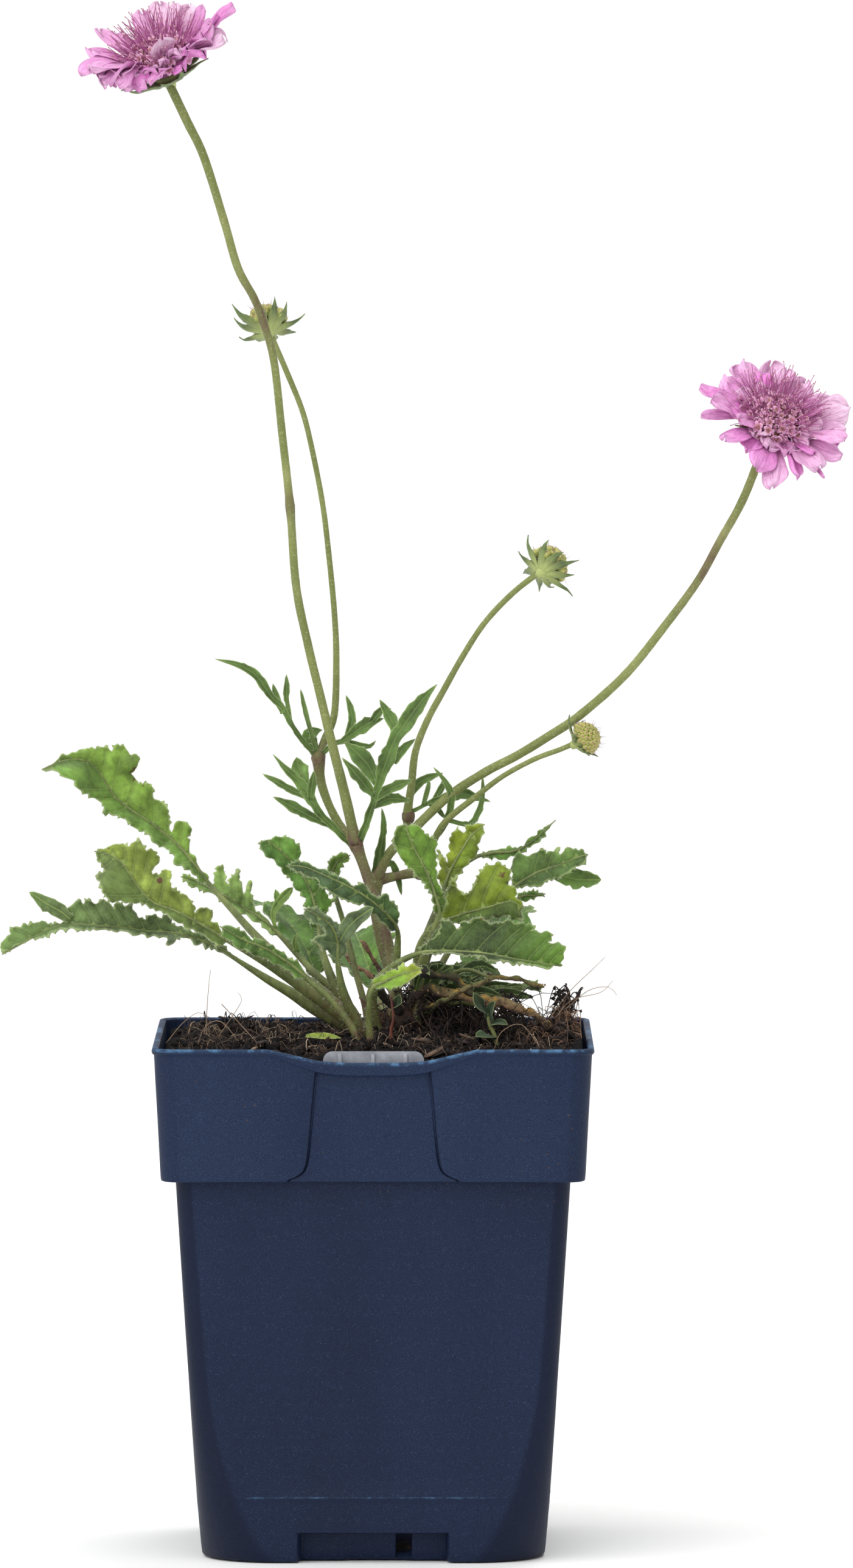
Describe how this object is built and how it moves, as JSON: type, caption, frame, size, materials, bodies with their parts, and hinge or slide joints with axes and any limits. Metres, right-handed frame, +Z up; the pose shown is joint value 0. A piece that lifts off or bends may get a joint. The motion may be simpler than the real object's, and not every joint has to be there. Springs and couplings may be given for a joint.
{
  "type": "potted pink scabious",
  "caption": "Pink pincushion flower on long wiry stems over a rosette of cut leaves, growing in a square blue nursery pot filled with soil.",
  "frame": {"origin": "centre of the flat underside of the pot", "axes": "+Z up along the plant; -Y is the pot's front, with the dipped rim and label pocket; +X to the right of it"},
  "size_m": [0.2141, 0.1305, 0.3892],
  "materials": {
    "pot_plastic": "matte",
    "potting_soil": "matte",
    "crown_wood": "matte",
    "stem_green": "satin",
    "leaf_green": "satin",
    "leaf_dark_green": "satin",
    "leaf_yellow_green": "satin",
    "petal_pink": "satin",
    "floret_pink": "satin",
    "bud_green": "satin"
  },
  "bodies": {
    "root": {"bloom_left_centre": "floret_pink", "bloom_left_petals": "petal_pink", "bloom_right_centre": "floret_pink", "bloom_right_petals": "petal_pink", "bud_b_florets": "bud_green", "bud_c_florets": "bud_green", "crown": "crown_wood", "fallen_leaf": "leaf_yellow_green", "leaf_back": "leaf_green", "leaf_back_left": "leaf_green", "leaf_back_low": "leaf_green", "leaf_back_right": "leaf_green", "leaf_broad_right": "leaf_yellow_green", "leaf_dark_arching": "leaf_dark_green", "leaf_far_right": "leaf_green", "leaf_fuzzy_left": "leaf_green", "leaf_grey_forked": "leaf_dark_green", "leaf_low_left": "leaf_dark_green", "leaf_low_right": "leaf_dark_green", "leaf_low_yellow": "leaf_yellow_green", "leaf_middle_left": "leaf_dark_green", "leaf_narrow_right": "leaf_green", "leaf_pale_right": "leaf_green", "leaf_pinnate_left": "leaf_green", "leaf_small_right": "leaf_green", "leaf_spoon_left": "leaf_green", "leaf_upper_left": "leaf_green", "leaf_yellow_right": "leaf_yellow_green", "leaf_young_left": "leaf_green", "leafy_stem_left": "stem_green", "leafy_stem_right": "stem_green", "pot": "pot_plastic", "seed_head_florets": "bud_green", "soil": "potting_soil", "weed_seedling": "leaf_green"}
  },
  "joints": []
}
